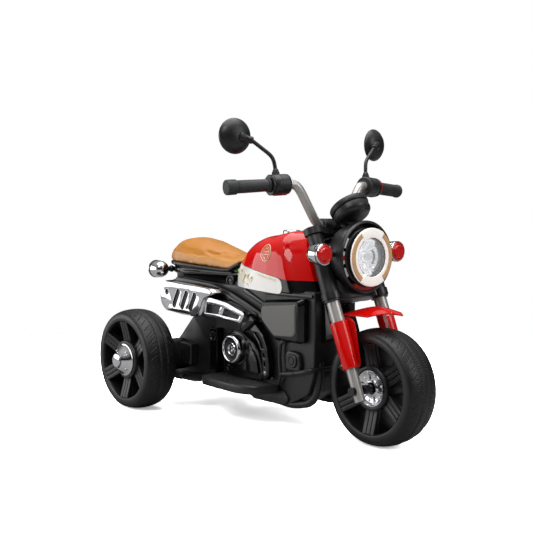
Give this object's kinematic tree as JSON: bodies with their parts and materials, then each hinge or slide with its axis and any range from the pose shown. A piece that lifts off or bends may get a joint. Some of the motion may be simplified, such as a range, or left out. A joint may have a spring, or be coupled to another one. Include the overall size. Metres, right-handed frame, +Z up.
{
  "type": "ride-on toy motorcycle",
  "caption": "Child's battery-powered three-wheel ride-on motorcycle with raked fork, round headlamp, teardrop tank, padded saddle, wide rear wheels and mirrors.",
  "frame": {"origin": "on the ground, midway between the front and rear axles, on the middle plane", "axes": "+X towards the nose, +Y towards the rider's left, +Z up"},
  "size_m": [0.984, 0.5761, 0.749],
  "materials": {
    "black_shell": "moulded, semi-gloss",
    "black_trim": "moulded, fine matt texture",
    "grip": "moulded soft grip",
    "tyre": "moulded tread, matt",
    "red_shell": "moulded, high gloss",
    "red_trim": "moulded, gloss",
    "white_trim": "moulded, gloss",
    "saddle": "smooth leathercloth",
    "grey_panel": "satin",
    "plated_plastic": "chrome-plated plastic",
    "red_lens": "translucent red",
    "clear_lens": "clear polycarbonate",
    "light_guide": "frosted",
    "bar_steel": "painted silver, satin",
    "plain_steel": "zinc plated",
    "battery_case": "moulded",
    "circuit_board": "solder mask",
    "nylon": "moulded",
    "mirror": "silvered"
  },
  "bodies": {
    "chassis": {"body_shell_right": "black_shell", "body_shell_left": "black_shell", "upper_cover": "black_shell", "seat_pad": "saddle", "tank_cover": "red_shell", "tank_strips": "white_trim", "tank_cap": "plated_plastic", "engine_covers": "black_shell", "clutch_rings": "plated_plastic", "side_panels": "grey_panel", "mufflers": "plated_plastic", "heat_shields": "plated_plastic", "footrests": "black_trim", "rear_axle": "plain_steel", "rear_axle_nuts": "plated_plastic", "gearbox_right": "black_shell", "gearbox_left": "black_shell", "battery": "battery_case", "control_board": "circuit_board", "charge_socket": "black_trim", "head_bushes": "nylon", "rear_signal_shells": "plated_plastic", "rear_signal_lenses": "red_lens", "shell_screws": "plain_steel"},
    "steering": {"fork_stem": "black_trim", "upper_yoke": "black_trim", "fork_covers": "black_trim", "fork_tubes": "bar_steel", "front_mudguard": "red_shell", "front_axle": "plain_steel", "headlight_shell": "black_shell", "headlight_reflector": "plated_plastic", "headlight_guide": "light_guide", "headlight_lens": "clear_lens", "front_signal_shells": "plated_plastic", "front_signal_lenses": "red_lens", "handlebar": "bar_steel", "switch_housing_right": "black_trim", "switch_housing_left": "black_trim", "left_grip": "grip", "grip_ring": "red_trim", "mirror_stalks": "black_trim", "gauge_pod": "black_trim"},
    "front_wheel": {"front_rim": "black_shell", "front_tyre": "tyre", "front_hub_caps": "plated_plastic"},
    "rear_wheel_right": {"rear_rim_right": "black_shell", "rear_tyre_right": "tyre", "rear_hub_cap_right": "plated_plastic"},
    "rear_wheel_left": {"rear_rim_left": "black_shell", "rear_tyre_left": "tyre", "rear_hub_cap_left": "plated_plastic"},
    "throttle": {"throttle_grip": "grip"},
    "mirror_right": {"mirror_shell_right": "black_trim", "mirror_glass_right": "mirror"},
    "mirror_left": {"mirror_shell_left": "black_trim", "mirror_glass_left": "mirror"},
    "horn_key": {"horn_button": "red_trim"},
    "start_key": {"start_button": "plated_plastic"},
    "power_key": {"power_rocker": "red_trim"}
  },
  "joints": [
    {"name": "steer", "type": "hinge", "parent": "chassis", "child": "steering", "pos_m": [0.32372, 0, 0.12128], "axis": [-0.3811, 0, 0.9245], "range_deg": [-25, 25]},
    {"name": "front_wheel_spin", "type": "hinge", "parent": "steering", "child": "front_wheel", "pos_m": [0.357, 0, 0.135], "axis": [0, 1, 0], "continuous": true},
    {"name": "rear_wheel_right_spin", "type": "hinge", "parent": "chassis", "child": "rear_wheel_right", "pos_m": [-0.357, -0.206, 0.135], "axis": [0, 1, 0], "continuous": true},
    {"name": "rear_wheel_left_spin", "type": "hinge", "parent": "chassis", "child": "rear_wheel_left", "pos_m": [-0.357, 0.206, 0.135], "axis": [0, 1, 0], "continuous": true},
    {"name": "throttle_twist", "type": "hinge", "parent": "steering", "child": "throttle", "pos_m": [0.16552, -0.175, 0.59523], "axis": [-0.1906, -0.9797, -0.0625], "range_deg": [0, 45], "stiffness_Nm_per_rad": 0.15},
    {"name": "mirror_right_swivel", "type": "hinge", "parent": "steering", "child": "mirror_right", "pos_m": [0.137, -0.203, 0.698], "axis": [0, 0, 1], "range_deg": [-12, 12]},
    {"name": "mirror_left_swivel", "type": "hinge", "parent": "steering", "child": "mirror_left", "pos_m": [0.137, 0.203, 0.698], "axis": [0, 0, 1], "range_deg": [-12, 12]},
    {"name": "horn_press", "type": "slide", "parent": "steering", "child": "horn_key", "axis": [0.9816, 0.1909, 0], "range_m": [0, 0.0025], "stiffness_N_per_m": 300},
    {"name": "start_press", "type": "slide", "parent": "steering", "child": "start_key", "axis": [0.9816, -0.1909, 0], "range_m": [0, 0.0025], "stiffness_N_per_m": 300},
    {"name": "power_rock", "type": "hinge", "parent": "chassis", "child": "power_key", "pos_m": [-0.19, 0.034, 0.363], "axis": [1, 0, 0], "range_deg": [-10, 10]}
  ]
}
